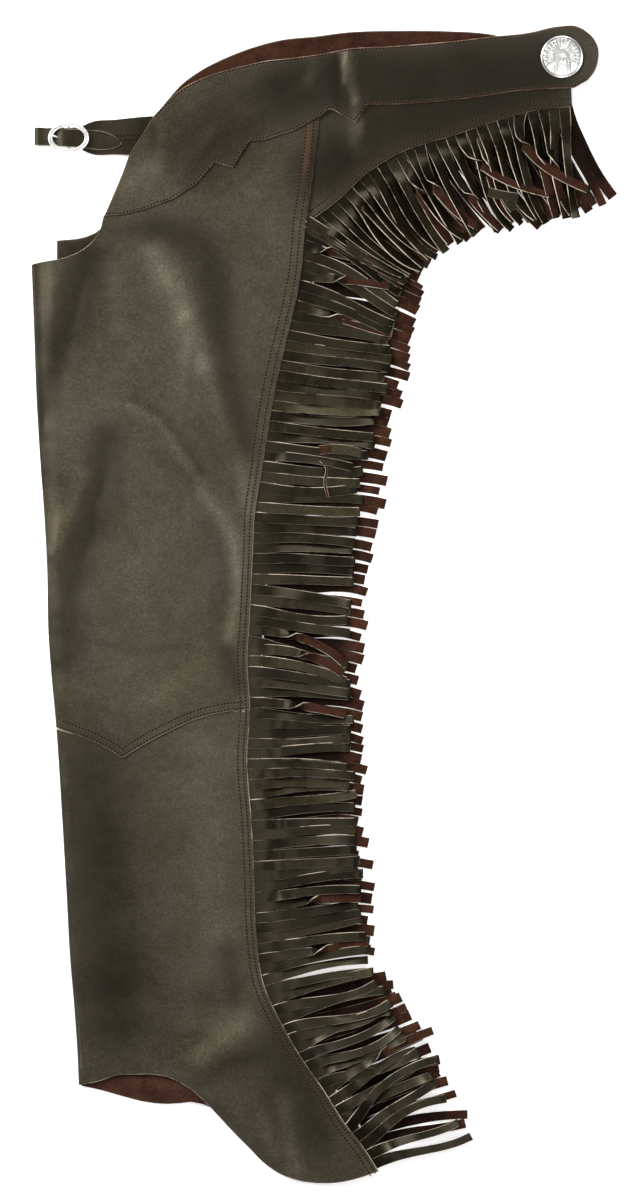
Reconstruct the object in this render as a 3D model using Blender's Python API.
"""Fringed leather chaps, buckled at the front and folded in half flat.

The near leg lies on top with its outer face up, the far leg lies under it with its outer face down.
Tables are in millimetres on a ruler laid along the left edge (down) and the top edge (across).
"""

import math

import bmesh
import bpy
import numpy as np

MM = 0.001

# Leather and the gaps between its layers, in millimetres.
LEATHER = 1.6
YOKE_LEATHER = 1.8
SEAM_GAP = 0.35
YOKE_GAP = 0.5
FLOOR_GAP = 0.4
LEG_INNER_GAP = 2.4
KNEE_LAP = 12.0
KNEE_BUTT_GAP = 0.9
FAR_LEG_THICK = 4.0
FAR_YOKE_THICK = 5.2
FAR_HIP_THICK = 1.9
HIP_TOP = 5.5
WAIST_TOP = 5.5
THIGH_OVER_FAR_LEG = 3.05

# Fringe, in millimetres.
STRAND_WIDTH = 7.6
STRAND_THICK = 1.2
STRIP_WIDTH = 4.0
STRIP_THICK = 1.3
CUT_GAP = 0.9
NEAR_TIP_FLOOR = 2.15
STRAND_EASE = 1.25
STRAND_BOW = 0.0875
TIP_JITTER = 0.012
JITTER_STEP = 2.7
FAR_STRAND_GAP = 0.8

# Buckle, strap and concho, in millimetres.
BUCKLE_CENTRE = (33.3, 99.6)
BUCKLE_HALF_LENGTH = 16.2
BUCKLE_HALF_HEIGHT = 11.6
RIM_HALF_WIDTH = 2.1
RIM_BOTTOM = 8.6
RIM_TOP = 11.0
BAR_RADIUS = 0.8
BAR_LEVEL = 4.2
PRONG_RADIUS = 0.9
TAB_THICK = 1.2
STRAP_HALF = 8.0
STRAP_LEVEL = 0.82
STRAP_BEND = (5.3, 4.5)
CONCHO_CENTRE = (471.7, 27.6)
CONCHO_RADIUS = 18.9
CONCHO_THICK = 2.4
CONCHO_PETALS = 12

# Edges of the near leg: (across, down).
FOLD_EDGE = (
    (0, 212), (2, 263), (4.7, 336), (8, 390), (11, 430), (14, 488), (15, 540), (17, 569), (22, 624),
    (27, 700), (31, 768), (34.5, 831), (38, 872), (41, 916), (42, 942),
)
SIDE_SEAM = (
    (257, 66), (254, 104), (250, 134), (247, 155), (244, 175), (242.5, 193), (240, 218), (231, 263),
    (222, 299), (213, 345), (204, 400), (199, 430), (197, 470), (194, 530), (192, 561), (194.5, 610),
    (192, 648), (196, 709), (198, 753), (200, 806), (206, 849), (225, 891), (243, 921), (259, 944),
    (280, 977), (295, 996), (309, 1018),
)
CROTCH_EDGE = ((0, 212), (8, 210), (26, 207), (44, 200), (55, 191), (61, 182), (66, 166))
# The thigh and hip panels end under the yoke along this line.
YOKE_LAP = (
    (66, 166), (80, 158), (100, 152), (130, 140), (150, 124), (163, 111), (180, 101), (200, 92),
    (230, 81), (257, 66),
)
HIP_TOP_EDGE = ((250, 70), (265, 64), (299, 61), (340, 60), (391, 56), (450, 49), (480, 47))
KNEE_EDGE = (
    (22, 624), (35, 628), (48, 633), (62, 639), (72, 645), (80.5, 651), (91, 644), (108, 634),
    (126, 625), (143, 617), (160, 612), (177, 609), (193, 608),
)
FRONT_HEM = (
    (42, 942), (61, 938), (75, 933), (93, 932), (108, 932), (123, 935), (140, 944), (150, 952),
    (168, 971), (179, 983), (193, 997), (208, 1012), (220, 1020), (239, 1027), (259, 1029),
    (280, 1027), (295, 1023), (309, 1018),
)
BACK_HEM = (
    (42, 942), (61, 946), (83, 952), (105, 957), (127, 958), (142, 956), (165, 963), (195, 988),
    (225, 1011), (260, 1021), (309, 1016),
)
BACK_TOP = ((0, 212), (60, 218), (150, 216), (241, 208))

# Edges of the near yoke and of the hip panel: (across, down).
YOKE_FRONT = ((108, 81), (99, 96), (88, 113), (81, 131), (65, 169))
YOKE_TOP = (
    (108, 81), (123, 65), (135, 55), (153, 46), (190, 35), (208, 31), (226, 29), (257, 25),
    (284, 20), (319, 18), (379, 13), (404, 10), (442, 6), (468, 0.5), (484, 0), (491, 3),
)
YOKE_END = ((491, 3), (499, 10), (504, 20), (504, 30), (501, 40), (495, 48))
YOKE_ZIGZAG = (
    (65, 169), (81, 168), (99, 164), (126, 154), (146, 141), (163, 121), (179, 126), (193, 103),
    (208, 101), (233, 93), (257, 80), (265, 74), (269, 75), (288, 86), (299, 70), (319, 70),
    (353, 68), (391, 64), (429, 58), (458, 56), (483, 55), (495, 48),
)
HIP_LOW_EDGE = (
    (245, 175), (254, 169), (276, 152), (296, 133), (315, 120), (334, 110), (353, 104), (379, 96),
    (403, 88), (421, 82), (448, 75), (481, 71.5),
)

# Edges of the hidden far leg, yoke and hip panel: (across, down).
FAR_FOLD_EDGE = (
    (23, 191), (24, 260), (24, 336), (28, 430), (31, 540), (35, 623), (39, 700), (45, 831), (54, 925),
)
FAR_TOP_EDGE = (
    (23, 191), (48, 188), (59, 183), (72, 170), (84, 160), (100, 154), (130, 142), (150, 126),
    (163, 113), (180, 103), (200, 94), (242, 82),
)
FAR_HEM = (
    (54, 925), (90, 936), (130, 942), (160, 950), (180, 962), (200, 980), (220, 1000), (240, 1010),
    (259, 1015), (280, 1013), (303, 998),
)
FAR_YOKE_TOP = (
    (118, 70), (135, 51), (148, 41.5), (179, 26), (195, 20), (221, 13), (257, 9), (275, 6.5),
    (330, 4.5), (372, 5), (404, 7), (430, 12), (495, 12),
)
FAR_YOKE_LOW = (
    (88, 156), (100, 150), (130, 138), (150, 122), (163, 109), (180, 99), (200, 90), (230, 79),
    (262, 62.5), (299, 59), (340, 58), (391, 54), (450, 47), (495, 44),
)
FAR_YOKE_FRONT = ((118, 70), (127, 84), (127, 116), (116, 136), (88, 156))
FAR_YOKE_END = ((495, 12), (499, 28), (495, 44))
FAR_HIP_TOP = ((262, 68), (299, 63), (340, 62), (391, 58), (450, 51), (478, 49))

# Fringe: root (across, down) and tip (across, down) of the strand at each place.
NEAR_HIP_FRINGE = (
    (479, 70.5, 485, 171), (452, 73, 474, 167), (421, 81, 454, 173), (390, 91.5, 430, 178),
    (362, 101, 406, 185), (336, 109, 385, 191), (314, 120, 366, 199), (294, 134, 353, 206),
    (276, 151, 343, 215), (258, 165.5, 334, 224),
    (248, 172.5, 331, 230),
)
NEAR_LEG_FRINGE = (
    (243.6, 180, 330, 235), (242, 200, 327, 246), (239, 230, 323, 266), (231, 263, 320, 279),
    (222, 299, 316, 310), (213, 345, 307, 354), (204, 400, 295, 406), (198, 451, 288, 457),
    (195.5, 510, 284, 516), (192, 561, 280, 564), (194.5, 608, 286, 610), (192, 648, 283, 646),
    (194.5, 698, 286, 693), (199, 753, 290, 747), (200.5, 813, 295, 798), (204, 843, 301, 826),
)
NEAR_FLARE_FRINGE = (
    (204.4, 844, 301.5, 828), (214, 869, 307, 848), (226, 892, 315, 864), (243, 921, 326, 886),
    (259, 944, 339, 907), (280, 977, 356, 931), (295, 996, 371, 955), (308, 1015, 394, 994),
)
FAR_HIP_FRINGE = (
    (481, 69, 528, 152), (470, 70, 510, 160), (444, 73, 492, 165), (412, 82, 470, 170),
    (381, 92, 441, 175), (354, 102, 414, 181), (328, 111, 389, 188), (306, 125, 371, 196),
    (285, 143, 358, 206), (270, 155, 349, 217),
    (257, 166, 345, 226),
)
FAR_LEG_FRINGE = (
    (254, 196, 344, 233), (251, 226, 343, 248), (248, 243, 339, 265), (239, 283, 335, 297),
    (229, 328, 327, 335), (220, 372, 317, 374), (215, 421, 310, 426), (210, 475, 302, 480),
    (208, 519, 296, 521), (205, 561, 292, 564), (206, 608, 295, 610), (205, 663, 294, 661),
    (206, 715, 296, 711), (209, 766, 300, 760), (212, 808, 304, 799), (216, 838, 308, 829),
)
FAR_FLARE_FRINGE = (
    (222, 862, 314, 843), (239, 893, 326, 865), (255, 920, 341, 889), (271, 946, 355, 913),
    (289, 973, 369, 937), (304, 998, 391, 980),
)
# The far leg and the far hip panel end at the roots of their fringe.
FAR_SEAM = (
    ((242, 82), (240, 130), (237, 160), (239, 176), (247, 188))
    + tuple((row[0] - 1.3, row[1]) for row in FAR_LEG_FRINGE)
    + tuple((row[0] - 1.8, row[1] + 0.8) for row in FAR_FLARE_FRINGE[:-1])
    + (FAR_HEM[-1],)
)
FAR_HIP_LOW = tuple((row[0] - 0.4, row[1] - 0.6) for row in reversed(FAR_HIP_FRINGE))
# Strands on each strip. The lean turns the tips on edge, in degrees. A root level of None is the middle
# of the gap between the near leg's two layers.
FRINGES = (
    # name, rows, strands, segments, tip lean, root level, near
    ("near_fringe_hip", NEAR_HIP_FRINGE, 27, 3, 40, 2.9, True),
    ("near_fringe_leg", NEAR_LEG_FRINGE, 73, 2, 12, None, True),
    ("near_fringe_flare", NEAR_FLARE_FRINGE, 21, 3, 30, None, True),
    ("far_fringe_hip", FAR_HIP_FRINGE, 26, 2, 0, 1.05, False),
    ("far_fringe_leg", FAR_LEG_FRINGE, 64, 1, 0, 1.05, False),
    ("far_fringe_flare", FAR_FLARE_FRINGE, 18, 1, 0, 1.05, False),
)

# Wide swells that every layer follows.
SWELLS = (
    # name, across, down, across, down, half-width, height
    ("thigh, upper", 130, 270, 125, 360, 62, 2.6),
    ("thigh, lower", 115, 430, 105, 520, 58, 2.2),
    ("shin", 120, 720, 128, 850, 55, 2.8),
    ("flare", 175, 905, 200, 935, 45, 1.2),
)
# The near leg's back layer and the far leg follow them less.
BACK_SWELL = 0.85
FAR_SWELL = 0.6
# Sharper folds of the top layer alone, as ridges (above 0) and troughs (below 0).
FOLDS = (
    # name, across, down, across, down, half-width, height
    ("thigh ridge, upper", 119, 212, 146, 265, 14, 2.0),
    ("thigh ridge, middle", 146, 265, 152, 345, 15, 2.6),
    ("thigh ridge, lower", 152, 345, 166, 405, 13, 2.2),
    ("trough beside the seam, upper", 186, 215, 176, 300, 13, -1.3),
    ("trough beside the seam, lower", 176, 300, 184, 390, 12, -1.3),
    ("left trough, upper", 34, 230, 38, 350, 11, -1.2),
    ("left trough, lower", 66, 385, 60, 505, 13, -1.4),
    ("left ridge", 50, 372, 30, 505, 10, 1.8),
    ("diagonal crease, upper", 72, 335, 108, 358, 8, -1.0),
    ("diagonal crease, lower", 108, 358, 146, 408, 8, -1.2),
    ("diagonal ridge", 62, 348, 104, 384, 12, 1.6),
    ("knee ridge", 170, 470, 180, 598, 13, 1.8),
    ("shin ridge", 148, 655, 158, 840, 24, 1.6),
    ("shin trough, left", 56, 665, 66, 866, 16, -1.2),
    ("flare ridge", 150, 893, 182, 915, 14, 1.8),
    ("flare crease, left", 150, 930, 184, 920, 9, -1.1),
    ("flare crease, right", 184, 920, 203, 885, 9, -1.0),
    ("yoke ridge", 284, 24, 284, 50, 7, 2.8),
    ("yoke ridge, left", 256, 30, 255, 46, 9, 1.4),
    ("yoke front ridge", 122, 92, 118, 128, 9, 1.3),
    ("hip bulge", 286, 100, 282, 116, 10, 1.8),
)

LEATHER_DARK = (0.026, 0.022, 0.014, 1)
SUEDE_BROWN = (0.085, 0.035, 0.022, 1)
SILVER = (0.8, 0.78, 0.75, 1)


def smooth(low, high, value):
    """0 below low, 1 above high, with a soft step between."""
    t = np.clip((np.asarray(value, float) - low) / (high - low), 0, 1)
    return t * t * (3 - 2 * t)


def curve_through(points, sharp=False):
    """A function of t in 0..1 that runs through the points, softly or in straight runs."""
    points = np.array(points, float)
    steps = np.hypot(*np.diff(points, axis=0).T)
    knots = np.concatenate([[0], np.cumsum(steps)]) / steps.sum()
    slopes = np.gradient(points, knots, axis=0)

    def at(t):
        t = np.clip(np.asarray(t, float), 0, 1)
        if sharp:
            return np.stack([np.interp(t, knots, points[:, k]) for k in range(points.shape[1])], -1)
        i = np.clip(np.searchsorted(knots, t, side="right") - 1, 0, len(knots) - 2)
        run = (knots[i + 1] - knots[i])[..., None]
        s = (t - knots[i])[..., None] / run
        return (
            (1 + 2 * s) * (1 - s) ** 2 * points[i]
            + s * (1 - s) ** 2 * run * slopes[i]
            + s * s * (3 - 2 * s) * points[i + 1]
            + s * s * (s - 1) * run * slopes[i + 1]
        )

    return at


def corner_stations(points, longest):
    """Fractions along a line of straight runs: each of its points, and more where a run is long."""
    points = np.array(points, float)
    steps = np.hypot(*np.diff(points, axis=0).T)
    knots = np.concatenate([[0], np.cumsum(steps)]) / steps.sum()
    found = []
    for start, end, length in zip(knots[:-1], knots[1:], steps):
        found += list(np.linspace(start, end, max(1, math.ceil(length / longest)) + 1)[:-1])
    return np.array(found + [1.0])


def plan_grid(top, bottom, left, right, across, down):
    """Plan points of a panel between its four edges, as rows down and columns across."""
    u = np.asarray(across, float)[None, :, None]
    v = np.asarray(down, float)[:, None, None]
    edge_top, edge_bottom = top(across)[None], bottom(across)[None]
    edge_left, edge_right = left(down)[:, None], right(down)[:, None]
    corners = (
        (1 - u) * (1 - v) * edge_top[:, :1]
        + u * (1 - v) * edge_top[:, -1:]
        + (1 - u) * v * edge_bottom[:, :1]
        + u * v * edge_bottom[:, -1:]
    )
    return (1 - v) * edge_top + v * edge_bottom + (1 - u) * edge_left + u * edge_right - corners


def distance_to(points, line):
    """Distance of each plan point to a line of straight runs."""
    line = np.array(line, float)
    start, run = line[:-1], np.diff(line, axis=0)
    away = points[..., None, :] - start
    along = np.clip((away * run).sum(-1) / (run**2).sum(-1), 0, 1)
    return np.hypot(*np.moveaxis(away - along[..., None] * run, -1, 0)).min(-1)


def inside(points, outline):
    """Whether each plan point lies inside a closed outline."""
    outline = np.array(outline, float)
    x, y = points[..., 0, None], points[..., 1, None]
    x0, y0 = outline.T
    x1, y1 = np.roll(outline, -1, axis=0).T
    crosses = (y0 > y) != (y1 > y)
    height = np.where(y1 == y0, 1, y1 - y0)
    return (crosses & (x < x0 + (y - y0) * (x1 - x0) / height)).sum(-1) % 2 == 1


def bumps(points, rows):
    """Summed height of soft ridges and troughs at each plan point."""
    total = np.zeros(points.shape[:-1])
    for _, x0, y0, x1, y1, half_width, height in rows:
        away = distance_to(points, ((x0, y0), (x1, y1)))
        total += height * np.exp(-((away / half_width) ** 2))
    return total


# The far leg's fold and hem, run on past the flare's corner, bound what holds the near leg up.
FAR_LOWER_EDGE = FAR_FOLD_EDGE + FAR_HEM[1:-2] + ((278, 1022), (700, 1060))
HELD_UP_REGION = FAR_LOWER_EDGE + ((700, -200), (23, -200))
LAP_LINE = np.array(YOKE_LAP[:-1] + ((257, 66), (265, 64)) + HIP_TOP_EDGE[2:])


def leg_floor(points, swell_share=1.0):
    """Underside of the near leg: on the far leg inside its edge, and just above the floor outside."""
    held = inside(points, HELD_UP_REGION)
    away = distance_to(points, FAR_LOWER_EDGE)
    rise = np.where(held, 1.0, 1 - smooth(3, 17, away))
    on_far_leg = FAR_LEG_THICK + SEAM_GAP
    return FLOOR_GAP + (on_far_leg - FLOOR_GAP + swell_share * bumps(points, SWELLS)) * rise


def leg_top(points):
    """Outer face of the near leg's upper layer."""
    down = points[..., 1]
    two_layers = 2 * LEATHER + LEG_INNER_GAP
    stack = THIGH_OVER_FAR_LEG + (two_layers - THIGH_OVER_FAR_LEG) * smooth(110, 190, down)
    return leg_floor(points) + stack + bumps(points, FOLDS)


def panel_top(points):
    """Outer face of whatever the yoke lies on: the leg, the hip panel, or the far yoke."""
    x, y = points[..., 0], points[..., 1]
    above_lap = smooth(8, 34, np.interp(x, LAP_LINE[:, 0], LAP_LINE[:, 1]) - y)
    behind_seam = smooth(263, 281, x)
    leg = leg_top(points)
    low = WAIST_TOP + bumps(points, FOLDS)
    return leg + (low - leg) * np.maximum(above_lap, behind_seam)


def seam_side(points):
    """1 away from the fold and the side seam, 0 at them, so that lapped layers part only between."""
    knee = np.array(KNEE_EDGE)
    x = points[..., 0]
    left = smooth(2, 9, x - knee[0, 0])
    right = smooth(2, 9, knee[-1, 0] - x)
    return left * right


def below_thigh(points):
    """How far the shin panel lies under the thigh panel's outer face near the knee lap."""
    knee = np.array(KNEE_EDGE)
    below = points[..., 1] - np.interp(points[..., 0], knee[:, 0], knee[:, 1])
    return (LEATHER + SEAM_GAP) * (1 - smooth(4, 30, below)) * seam_side(points)


def with_level(points, level):
    return np.concatenate([points, level[..., None]], axis=-1)


def mesh_object(name, points, faces, material, collection):
    """A closed mesh in metres from points on the ruler, with its faces turned outwards."""
    mesh = bpy.data.meshes.new(name)
    placed = [(x * MM, -y * MM, z * MM) for x, y, z in points]
    mesh.from_pydata(placed, [], faces)
    edit = bmesh.new()
    edit.from_mesh(mesh)
    bmesh.ops.recalc_face_normals(edit, faces=edit.faces)
    if edit.calc_volume(signed=True) < 0:
        bmesh.ops.reverse_faces(edit, faces=edit.faces)
    edit.to_mesh(mesh)
    edit.free()
    mesh.materials.append(material)
    part = bpy.data.objects.new(name, mesh)
    collection.objects.link(part)
    return part


def slab(name, upper, lower, material, collection, waist=()):
    """A wall between two grids of points. Waist rows (share up, inset) shape its edge all round."""
    rows, columns = upper.shape[:2]
    points = [tuple(p) for p in upper.reshape(-1, 3)] + [tuple(p) for p in lower.reshape(-1, 3)]
    under = rows * columns
    faces = []
    for j in range(rows - 1):
        for i in range(columns - 1):
            a = j * columns + i
            quad = (a, a + 1, a + columns + 1, a + columns)
            faces.append(quad)
            faces.append(tuple(under + k for k in reversed(quad)))
    ring = (
        [(0, i) for i in range(columns)]
        + [(j, columns - 1) for j in range(1, rows)]
        + [(rows - 1, i) for i in range(columns - 2, -1, -1)]
        + [(j, 0) for j in range(rows - 2, 0, -1)]
    )
    levels = [[under + j * columns + i for j, i in ring]]
    if waist:
        outline = np.array([lower[j, i] for j, i in ring])
        along = np.roll(outline, -1, axis=0)[:, :2] - np.roll(outline, 1, axis=0)[:, :2]
        inward = np.stack([-along[:, 1], along[:, 0]], -1) / np.hypot(*along.T)[:, None]
    for share, inset in waist:
        levels.append(list(range(len(points), len(points) + len(ring))))
        for k, (j, i) in enumerate(ring):
            middle = lower[j, i] * (1 - share) + upper[j, i] * share
            middle[:2] += inward[k] * inset
            points.append(tuple(middle))
    levels.append([j * columns + i for j, i in ring])
    for low, high in zip(levels[:-1], levels[1:]):
        for k in range(len(ring)):
            n = (k + 1) % len(ring)
            faces.append((low[k], low[n], high[n], high[k]))
    return mesh_object(name, points, faces, material, collection)


def folded_wall(name, front, front_top, back, back_floor, material, collection):
    """One wall that runs over the front layer, round the fold at its left, and under as the back."""
    bead_turns = (55, 18, -18, -55)
    outer_rows, inner_rows = [], []
    for j in range(len(front)):
        radius = 0.5 * (front_top[j, 0] - back_floor[j, 0])
        hole = radius - LEATHER
        toward = front[j, 1] - front[j, 0]
        toward = toward / np.hypot(*toward)
        centre = front[j, 0] + toward * radius
        level = back_floor[j, 0] + radius
        outer, inner = [], []
        for i in range(front.shape[1] - 1, 0, -1):
            outer.append((*front[j, i], front_top[j, i]))
            inner.append((*front[j, i], front_top[j, i] - LEATHER))
        for turn in bead_turns:
            angle = math.radians(turn)
            for ring, r in ((outer, radius), (inner, hole)):
                spot = centre - toward * r * math.cos(angle)
                ring.append((*spot, level + r * math.sin(angle)))
        for i in range(1, back.shape[1]):
            outer.append((*back[j, i], back_floor[j, i]))
            inner.append((*back[j, i], back_floor[j, i] + LEATHER))
        outer_rows.append(outer)
        inner_rows.append(inner)
    return slab(name, np.array(outer_rows), np.array(inner_rows), material, collection)


def part_of(curve, start, end):
    """The stretch of a curve between two fractions of it, again as a function of 0..1."""
    return lambda t: curve(start + (end - start) * np.asarray(t, float))


def fraction_near(points, place):
    """Fraction along the smooth curve through the points where it passes nearest to a place."""
    t = np.linspace(0, 1, 2001)
    return t[np.hypot(*(curve_through(points)(t) - np.array(place)).T).argmin()]


def fold_first_columns(count):
    """Column fractions from the fold to the seam, closer where the leg bends down past the far leg."""
    return np.concatenate([[0, 0.018, 0.05, 0.085], np.linspace(0.13, 1, count)])


def make_thigh(material, collection):
    fold, seam = curve_through(FOLD_EDGE), curve_through(SIDE_SEAM)
    fold_knee = fraction_near(FOLD_EDGE, KNEE_EDGE[0])
    seam_knee = fraction_near(SIDE_SEAM, KNEE_EDGE[-1])
    seam_back = fraction_near(SIDE_SEAM, BACK_TOP[-1])
    down = np.linspace(0, 1, 22)
    across = fold_first_columns(10)
    top = curve_through(CROTCH_EDGE + YOKE_LAP[1:])
    front = plan_grid(
        top, curve_through(KNEE_EDGE, sharp=True), part_of(fold, 0, fold_knee), part_of(seam, 0, seam_knee),
        across, down,
    )
    under = fold_first_columns(6)
    knee_line = curve_through((KNEE_EDGE[0], (100, 622), KNEE_EDGE[-1]))
    back = plan_grid(
        curve_through(BACK_TOP), knee_line, part_of(fold, 0, fold_knee), part_of(seam, seam_back, seam_knee),
        under, down,
    )
    return folded_wall(
        "near_thigh_panel", front, leg_top(front), back, leg_floor(back, BACK_SWELL), material, collection
    )


def make_shin(material, collection):
    fold, seam = curve_through(FOLD_EDGE), curve_through(SIDE_SEAM)
    below = KNEE_BUTT_GAP
    fold_knee = fraction_near(FOLD_EDGE, (KNEE_EDGE[0][0], KNEE_EDGE[0][1] + below))
    seam_knee = fraction_near(SIDE_SEAM, (KNEE_EDGE[-1][0], KNEE_EDGE[-1][1] + below))
    across = np.concatenate([[0, 0.02, 0.05], np.linspace(0.085, 0.925, 11), [1]])
    down = np.concatenate([[0, 0.045], np.linspace(0.085, 0.93, 14), [0.955, 0.978, 1]])
    knee = curve_through(KNEE_EDGE, sharp=True)

    def tongue(t):
        reach = smooth(0.08, 0.15, t) * (1 - smooth(0.86, 0.925, t))
        edge = knee(t)
        edge[..., 1] += below - (KNEE_LAP + below) * reach
        return edge

    front = plan_grid(
        tongue, curve_through(FRONT_HEM), part_of(fold, fold_knee, 1), part_of(seam, seam_knee, 1),
        across, down,
    )
    under = fold_first_columns(6)
    line = ((KNEE_EDGE[0][0], KNEE_EDGE[0][1] + below), (100, 622 + below), (KNEE_EDGE[-1][0], 608 + below))
    back = plan_grid(
        curve_through(line), curve_through(BACK_HEM), part_of(fold, fold_knee, 1),
        part_of(seam, seam_knee, 1), under, down,
    )
    return folded_wall(
        "near_shin_panel", front, leg_top(front) - below_thigh(front), back,
        leg_floor(back, BACK_SWELL), material, collection,
    )


def make_hip(material, collection):
    left = curve_through((HIP_TOP_EDGE[0], (247, 104), (243, 134), (241, 155), HIP_LOW_EDGE[0]))
    right = curve_through((HIP_TOP_EDGE[-1], HIP_LOW_EDGE[-1]))
    plan = plan_grid(
        curve_through(HIP_TOP_EDGE), curve_through(HIP_LOW_EDGE), left, right,
        np.linspace(0, 1, 15), np.linspace(0, 1, 7),
    )
    top = HIP_TOP + bumps(plan, FOLDS)
    return slab(
        "near_hip_panel", with_level(plan, top), with_level(plan, top - LEATHER), material, collection
    )


def make_yoke(material, collection):
    across = corner_stations(YOKE_ZIGZAG, 22)
    plan = plan_grid(
        curve_through(YOKE_TOP), curve_through(YOKE_ZIGZAG, sharp=True), curve_through(YOKE_FRONT),
        curve_through(YOKE_END), across, np.linspace(0, 1, 8),
    )
    floor = panel_top(plan) + YOKE_GAP
    return slab(
        "near_yoke", with_level(plan, floor + YOKE_LEATHER), with_level(plan, floor), material, collection
    )


def far_solid(name, plan, top, waist, material, collection):
    """Hidden layers as one solid, flat underneath, with the waist rows parting its layers."""
    return slab(
        name, with_level(plan, top), with_level(plan, np.zeros(top.shape)), material, collection, waist
    )


def make_far_leg(material, collection):
    plan = plan_grid(
        curve_through(FAR_TOP_EDGE), curve_through(FAR_HEM), curve_through(FAR_FOLD_EDGE),
        curve_through(FAR_SEAM), np.linspace(0, 1, 9), np.linspace(0, 1, 28),
    )
    two_layers = ((0.12, -0.5), (0.4, -0.4), (0.5, 0.9), (0.6, -0.4), (0.88, -0.5))
    top = FAR_LEG_THICK + FAR_SWELL * bumps(plan, SWELLS)
    return far_solid("far_leg", plan, top, two_layers, material, collection)


def make_far_yoke(material, collection):
    plan = plan_grid(
        curve_through(FAR_YOKE_TOP), curve_through(FAR_YOKE_LOW), curve_through(FAR_YOKE_FRONT),
        curve_through(FAR_YOKE_END), np.linspace(0, 1, 24), np.linspace(0, 1, 4),
    )
    level = np.full(plan.shape[:2], FAR_YOKE_THICK)
    layers = ((0.15, -0.4), (0.38, -0.4), (0.5, 0.8), (0.62, -0.4), (0.88, -0.4))
    return far_solid("far_yoke", plan, level, layers, material, collection)


def make_far_hip(material, collection):
    plan = plan_grid(
        curve_through(FAR_HIP_TOP), curve_through(FAR_HIP_LOW),
        curve_through((FAR_HIP_TOP[0], FAR_HIP_LOW[0])), curve_through((FAR_HIP_TOP[-1], FAR_HIP_LOW[-1])),
        np.linspace(0, 1, 14), np.linspace(0, 1, 4),
    )
    level = np.full(plan.shape[:2], FAR_HIP_THICK)
    return far_solid("far_hip_panel", plan, level, ((0.5, -0.4),), material, collection)


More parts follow.
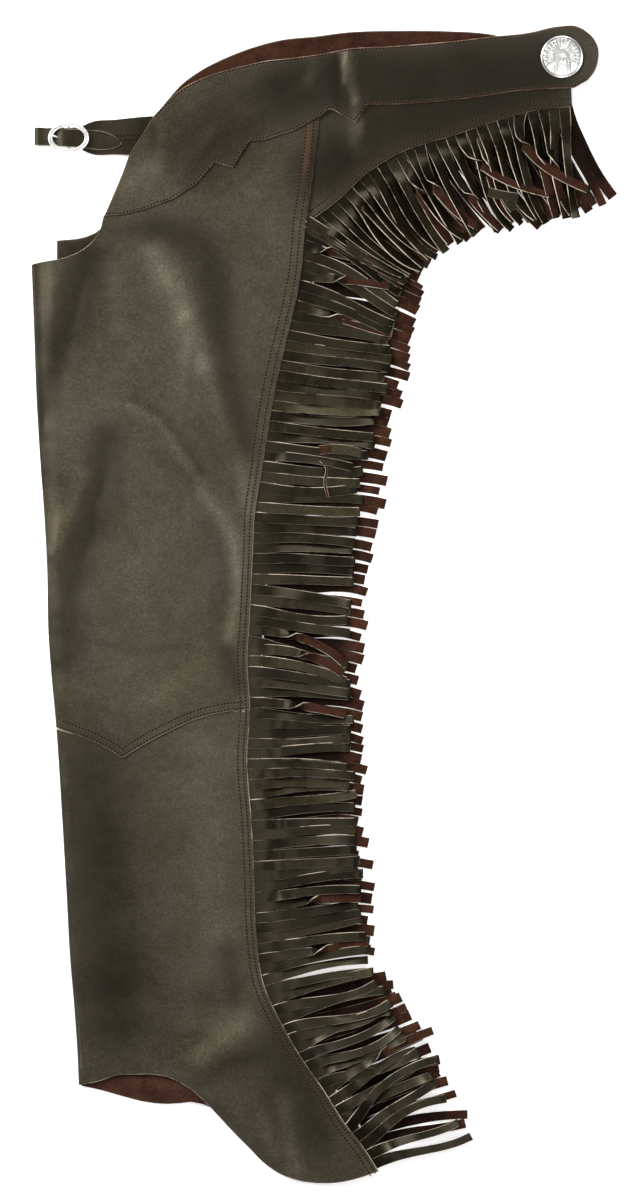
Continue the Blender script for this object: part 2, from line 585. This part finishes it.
def make_fringe(name, rows, strands, segments, tip_lean, root_level, near, material, collection):
    """Strands cut from one strip: they stand apart but for their roots in the narrow strip."""
    rows = np.array(rows, float)
    root_line = curve_through(rows[:, :2])
    steps = np.hypot(*np.diff(rows[:, :2], axis=0).T)
    knots = np.concatenate([[0], np.cumsum(steps)]) / steps.sum()
    tips = np.array([np.interp(np.linspace(0, 1, 400), knots, rows[:, k]) for k in (2, 3)]).T
    pitch = 1 / strands
    length = steps.sum()
    half_cut = 0.5 * CUT_GAP / length
    stations = []
    for i in range(strands):
        stations += [i * pitch + half_cut, (i + 1) * pitch - half_cut]
    root = root_line(stations)
    along = np.gradient(root, axis=0)
    along /= np.hypot(*along.T)[:, None]
    # The strip lies on the cloth's side of the root line, and the strands on the other.
    side = np.stack([-along[:, 1], along[:, 0]], -1)
    middle_tip = tips[len(tips) // 2] - root[len(root) // 2]
    outward = side * (1 if (side[len(side) // 2] * middle_tip).sum() > 0 else -1)
    strip_out, strip_in = (0, -STRIP_WIDTH) if near else (STRIP_WIDTH, 0.3)
    points, faces = [], []
    level_here = np.full(len(root), root_level or 0.0)
    if root_level is None:
        level_here = leg_floor(root - outward * STRIP_WIDTH / 2) + LEATHER + LEG_INNER_GAP / 2
    for p, out, middle in zip(root, outward, level_here):
        for reach, level in ((strip_out, 0.5), (strip_out, -0.5), (strip_in, -0.5), (strip_in, 0.5)):
            points.append((*(p + out * reach), middle + level * STRIP_THICK))
    for k in range(len(root) - 1):
        a, b = 4 * k, 4 * k + 4
        faces += [(a, b, b + 3, a + 3), (a + 3, b + 3, b + 2, a + 2), (a + 2, b + 2, b + 1, a + 1)]
        if k % 2:
            faces.append((a + 1, b + 1, b, a))
    last = 4 * (len(root) - 1)
    faces += [(0, 3, 2, 1), (last, last + 1, last + 2, last + 3)]
    for i in range(strands):
        first, second = 4 * (2 * i), 4 * (2 * i + 1)
        start = 0.5 * (np.array(points[first]) + np.array(points[second + 1]))
        across = np.array(points[second])[:2] - np.array(points[first])[:2]
        root_width = np.hypot(*across)
        across = across / root_width
        tip = tips[min(len(tips) - 1, round((i + 0.5) * pitch * (len(tips) - 1)))]
        tip = tip + (tip - start[:2]) * TIP_JITTER * math.sin(JITTER_STEP * i)
        reach = tip - start[:2]
        tip_side = np.array([-reach[1], reach[0]]) / np.hypot(*reach)
        tip_side = tip_side if (tip_side * across).sum() > 0 else -tip_side
        spread = tips[min(len(tips) - 1, round((i + 1.5) * pitch * (len(tips) - 1)))] - tip
        tip_pitch = abs((spread * tip_side).sum())
        ring = [first, second, second + 1, first + 1]
        for step in range(1, segments + 1):
            s = (step / segments) ** STRAND_EASE
            lean = math.radians(tip_lean) * smooth(0, 0.6, s)
            tip_width = STRAND_WIDTH if near else min(STRAND_WIDTH, tip_pitch - FAR_STRAND_GAP)
            width = root_width + (tip_width - root_width) * s
            half_height = 0.5 * (width * math.sin(lean) + STRAND_THICK * math.cos(lean))
            lowest = NEAR_TIP_FLOOR if near else FLOOR_GAP
            fall = smooth(0, 0.75, s)
            level = max(lowest + half_height, start[2] + (lowest + half_height - start[2]) * fall)
            bow = outward[2 * i] * (1 - s) * s * STRAND_BOW * np.hypot(*reach)
            centre = start[:2] + reach * s + bow
            side_now = across + (tip_side - across) * s
            side_now = side_now / np.hypot(*side_now)
            wide = np.array([*(side_now * math.cos(lean)), -math.sin(lean)]) * width / 2
            thick = np.array([*(side_now * math.sin(lean)), math.cos(lean)]) * STRAND_THICK / 2
            middle = np.array([*centre, level])
            new = []
            for across_share, up_share in ((-1, 1), (1, 1), (1, -1), (-1, -1)):
                new.append(len(points))
                points.append(tuple(middle + across_share * wide + up_share * thick))
            for k in range(4):
                n = (k + 1) % 4
                faces.append((ring[k], ring[n], new[n], new[k]))
            ring = new
        faces.append(tuple(ring))
    return mesh_object(name, points, faces, material, collection)


def ribbon(name, rows, thickness, material, collection):
    """A strap along rows of (across, down, level, half-width), turned with its path's slope."""
    rows = np.array(rows, float)
    path = rows[:, [0, 2]]
    along = np.gradient(path, axis=0)
    along /= np.hypot(*along.T)[:, None]
    upper, lower = [], []
    for (x, y, z, half), (dx, dz) in zip(rows, along):
        lift = np.array([-dz, dx]) * thickness / 2
        upper.append([(x + lift[0], y + side * half, z + lift[1]) for side in (-1, 0, 1)])
        lower.append([(x - lift[0], y + side * half, z - lift[1]) for side in (-1, 0, 1)])
    return slab(name, np.array(upper), np.array(lower), material, collection)


def box_cutter(name, low, high, cutters):
    """A box between two corners on the ruler, kept out of the object itself."""
    low, high = np.array(low, float), np.array(high, float)
    centre, size = (low + high) / 2 * MM, (high - low) * MM
    bpy.ops.mesh.primitive_cube_add(size=1, location=(centre[0], -centre[1], centre[2]))
    cutter = bpy.context.object
    cutter.name = name
    cutter.scale = size
    bpy.ops.object.transform_apply(location=False, rotation=False, scale=True)
    for owner in cutter.users_collection:
        owner.objects.unlink(cutter)
    cutters.objects.link(cutter)
    cutter.hide_render = True
    cutter.display_type = "WIRE"
    return cutter


def cut(part, cutter):
    modifier = part.modifiers.new("cut", "BOOLEAN")
    modifier.operation = "DIFFERENCE"
    modifier.object = cutter


def make_belt_tab(material, collection, cutters):
    """Two layers of leather that wrap the buckle's bar and run back under the yoke's front edge."""
    x, y = BUCKLE_CENTRE
    turn = BAR_RADIUS + SEAM_GAP + TAB_THICK / 2
    rows = [(119, 97.5, 4.0, 18.0), (100, 97.6, 4.0, 17.2), (75, 98.6, 4.0, 15.6), (52, 99.4, 4.2, 13.8)]
    rows += [(46, 99.5, 4.9, 11.0), (40, 99.6, BAR_LEVEL + turn - 0.2, 7.6)]
    for angle in range(90, 271, 30):
        a = math.radians(angle)
        rows.append((x + turn * math.cos(a), y, BAR_LEVEL + turn * math.sin(a), 7.4))
    rows += [(40, 99.6, 2.55, 7.6), (48, 99.5, 2.5, 11.0), (60, 99.2, 2.5, 14.0), (84, 98.2, 2.5, 15.8)]
    tab = ribbon("belt_tab", rows, TAB_THICK, material, collection)
    slot = box_cutter("prong_slot", (x - 4, y - 1.5, 1.0), (x + 4, y + 1.5, 8.0), cutters)
    cut(tab, slot)
    return tab


def make_strap(material, collection, cutters):
    """The strap from the far yoke: under the tab, back round its bend, through the buckle, over the tab."""
    half, low = STRAP_HALF, STRAP_LEVEL
    bend_x, bend_top = STRAP_BEND
    bend = (bend_top - low) / 2
    rows = [(124.6, 98.5, low, half), (100, 98.3, low, half), (70, 98.2, low, half), (40, 98.3, low, half)]
    rows += [(20, 98.2, low, half), (10, 98.2, low, half)]
    for angle in range(-90, 91, 30):
        a = math.radians(angle)
        rows.append((bend_x - bend * math.cos(a), 98.0, low + bend + bend * math.sin(a), half))
    rows += [
        (11, 98.3, 4.8, half), (16, 98.6, 5.5, half), (20, 98.9, 6.3, half), (24, 99.2, 7.2, half),
        (28, 99.4, 8.4, half), (33.3, 99.6, 8.6, half), (38.5, 99.8, 8.3, half), (42.5, 100.0, 7.2, half),
        (46, 100.3, 6.5, half), (51, 100.7, 6.1, 8.4),
        (58, 101.4, 5.9, 8.6), (65, 102.0, 5.8, 8.0), (71, 102.8, 5.75, 6.4), (76, 103.6, 5.7, 4.0),
        (80, 104.2, 5.7, 1.0),
    ]
    strap = ribbon("front_strap", rows, LEATHER, material, collection)
    hole = box_cutter("strap_hole", (19.6, 97.6, 5.2), (27.2, 101.2, 10.5), cutters)
    cut(strap, hole)
    return strap


def make_buckle(material, collection):
    """An oval frame with two raised rims, and the bar that dips behind the strap."""
    x, y = BUCKLE_CENTRE
    section = (
        (-1.0, 0.4), (-0.6, 1.0), (0.0, 0.6), (0.6, 1.0), (1.0, 0.5), (0.6, 0.0), (-0.6, 0.0),
    )
    turns = 36
    points, faces = [], []
    for k in range(turns):
        a = 2 * math.pi * k / turns
        out = np.array([math.cos(a) / BUCKLE_HALF_LENGTH, math.sin(a) / BUCKLE_HALF_HEIGHT])
        out /= np.hypot(*out)
        spot = np.array([x + BUCKLE_HALF_LENGTH * math.cos(a), y + BUCKLE_HALF_HEIGHT * math.sin(a)])
        for reach, up in section:
            level = RIM_BOTTOM + (RIM_TOP - RIM_BOTTOM) * up
            points.append((*(spot + out * reach * RIM_HALF_WIDTH), level))
    count = len(section)
    for k in range(turns):
        for s in range(count):
            a, b = k * count + s, k * count + (s + 1) % count
            c, d = ((k + 1) % turns) * count + (s + 1) % count, ((k + 1) % turns) * count + s
            faces.append((a, b, c, d))
    frame = mesh_object("buckle_frame", points, faces, material, collection)
    dip = [(-11.9, 9.8), (-11.2, 8.2), (-10.4, 6.2), (-9.6, 4.8), (-8.6, BAR_LEVEL)]
    path = dip + [(0, BAR_LEVEL)] + [(-across, level) for across, level in reversed(dip)]
    bar = tube("buckle_bar", [(x, y + across, level) for across, level in path], BAR_RADIUS, material)
    join = frame.modifiers.new("bar", "BOOLEAN")
    join.operation = "UNION"
    join.object = bar
    return frame, bar


def tube(name, path, radius, material):
    """A round bar along a path, as a closed mesh."""
    data = bpy.data.curves.new(name, "CURVE")
    data.dimensions = "3D"
    data.bevel_depth = radius * MM
    data.bevel_resolution = 2
    data.use_fill_caps = True
    spline = data.splines.new("POLY")
    spline.points.add(len(path) - 1)
    for point, (x, y, z) in zip(spline.points, path):
        point.co = (x * MM, -y * MM, z * MM, 1)
    data.materials.append(material)
    guide = bpy.data.objects.new(name, data)
    bpy.context.scene.collection.objects.link(guide)
    bpy.context.view_layer.update()
    graph = bpy.context.evaluated_depsgraph_get()
    mesh = bpy.data.meshes.new_from_object(guide.evaluated_get(graph))
    bpy.data.objects.remove(guide)
    edit = bmesh.new()
    edit.from_mesh(mesh)
    bmesh.ops.remove_doubles(edit, verts=edit.verts, dist=1e-6)
    bmesh.ops.recalc_face_normals(edit, faces=edit.faces)
    edit.to_mesh(mesh)
    edit.free()
    return bpy.data.objects.new(name, mesh)


def make_prong(material, collection):
    """A pin that hooks round the bar, comes up through the strap's hole and lies on the left rim."""
    x, y = BUCKLE_CENTRE
    hook = BAR_RADIUS + 0.3 + PRONG_RADIUS
    path = []
    for angle in range(-45, 91, 27):
        a = math.radians(angle)
        path.append((x + hook * math.cos(a), y, BAR_LEVEL + hook * math.sin(a)))
    path += [(28.5, y - 0.1, 6.2), (26.4, y - 0.2, 6.5), (24.0, y - 0.5, 8.4), (22.0, y - 1.0, 11.0)]
    path += [(19.6, y - 1.8, 12.3), (15.8, y - 2.6, 12.3)]
    prong = tube("buckle_prong", path, PRONG_RADIUS, material)
    collection.objects.link(prong)
    return prong


def make_concho(material, collection, seat):
    """A silver disc with a raised rim and a rosette of petals round a boss."""
    x, y = CONCHO_CENTRE
    turns = 4 * CONCHO_PETALS
    rings = ((0.0, 1.0), (0.14, 0.9), (0.2, 0.55), (0.4, 0.7), (0.65, 0.66), (0.85, 0.4), (0.92, 0.8),
             (1.0, 0.4))
    points = [(x, y, seat + CONCHO_THICK)]
    for share, up in rings[1:]:
        for k in range(turns):
            a = 2 * math.pi * k / turns
            petal = 0.16 * math.cos(CONCHO_PETALS * a) if 0.25 < share < 0.88 else 0.0
            level = seat + CONCHO_THICK * (up + petal)
            reach = CONCHO_RADIUS * share
            points.append((x + reach * math.cos(a), y + reach * math.sin(a), level))
    base, reach = len(points), CONCHO_RADIUS * 0.985
    for k in range(turns):
        a = 2 * math.pi * k / turns
        points.append((x + reach * math.cos(a), y + reach * math.sin(a), seat))
    faces = [(0, 1 + k, 1 + (k + 1) % turns) for k in range(turns)]
    starts = [1 + turns * r for r in range(len(rings) - 1)] + [base]
    for inner, outer in zip(starts[:-1], starts[1:]):
        for k in range(turns):
            n = (k + 1) % turns
            faces.append((inner + k, outer + k, outer + n, inner + n))
    faces.append(tuple(base + k for k in range(turns)))
    return mesh_object("concho", points, faces, material, collection)


def new_material(name, colour, roughness, metallic):
    material = bpy.data.materials.new(name)
    material.use_nodes = True
    shader = material.node_tree.nodes["Principled BSDF"]
    shader.inputs["Base Color"].default_value = colour
    shader.inputs["Roughness"].default_value = roughness
    shader.inputs["Metallic"].default_value = metallic
    return material


def new_collection(name):
    collection = bpy.data.collections.new(name)
    bpy.context.scene.collection.children.link(collection)
    return collection


def main():
    for old in list(bpy.data.objects):
        bpy.data.objects.remove(old)
    chaps, cutters = new_collection("leather_chaps"), new_collection("cutters")
    leather = new_material("smooth_leather", LEATHER_DARK, 0.45, 0)
    suede = new_material("suede", SUEDE_BROWN, 0.95, 0)
    fringe = new_material("fringe_leather", LEATHER_DARK, 0.4, 0)
    silver = new_material("silver", SILVER, 0.25, 1)

    make_thigh(leather, chaps)
    make_shin(leather, chaps)
    make_hip(leather, chaps)
    make_yoke(leather, chaps)
    make_far_leg(leather, chaps)
    make_far_yoke(suede, chaps)
    make_far_hip(suede, chaps)
    for name, rows, strands, segments, lean, level, near in FRINGES:
        make_fringe(name, rows, strands, segments, lean, level, near, fringe if near else suede, chaps)
    make_belt_tab(leather, chaps, cutters)
    make_strap(leather, chaps, cutters)
    _, bar = make_buckle(silver, chaps)
    cutters.objects.link(bar)
    bar.hide_render = True
    bar.display_type = "WIRE"
    make_prong(silver, chaps)
    make_concho(silver, chaps, WAIST_TOP + YOKE_GAP + YOKE_LEATHER + SEAM_GAP)

    placed = list(chaps.objects) + list(cutters.objects)
    solids = list(chaps.objects)
    corners = np.array([tuple(vertex.co) for part in solids for vertex in part.data.vertices])
    middle = (corners.min(axis=0) + corners.max(axis=0)) / 2
    for part in placed:
        part.location.x -= middle[0]
        part.location.y -= middle[1]
    for part in solids:
        part.data.shade_smooth()
        part.data.set_sharp_from_angle(angle=math.radians(40))


main()
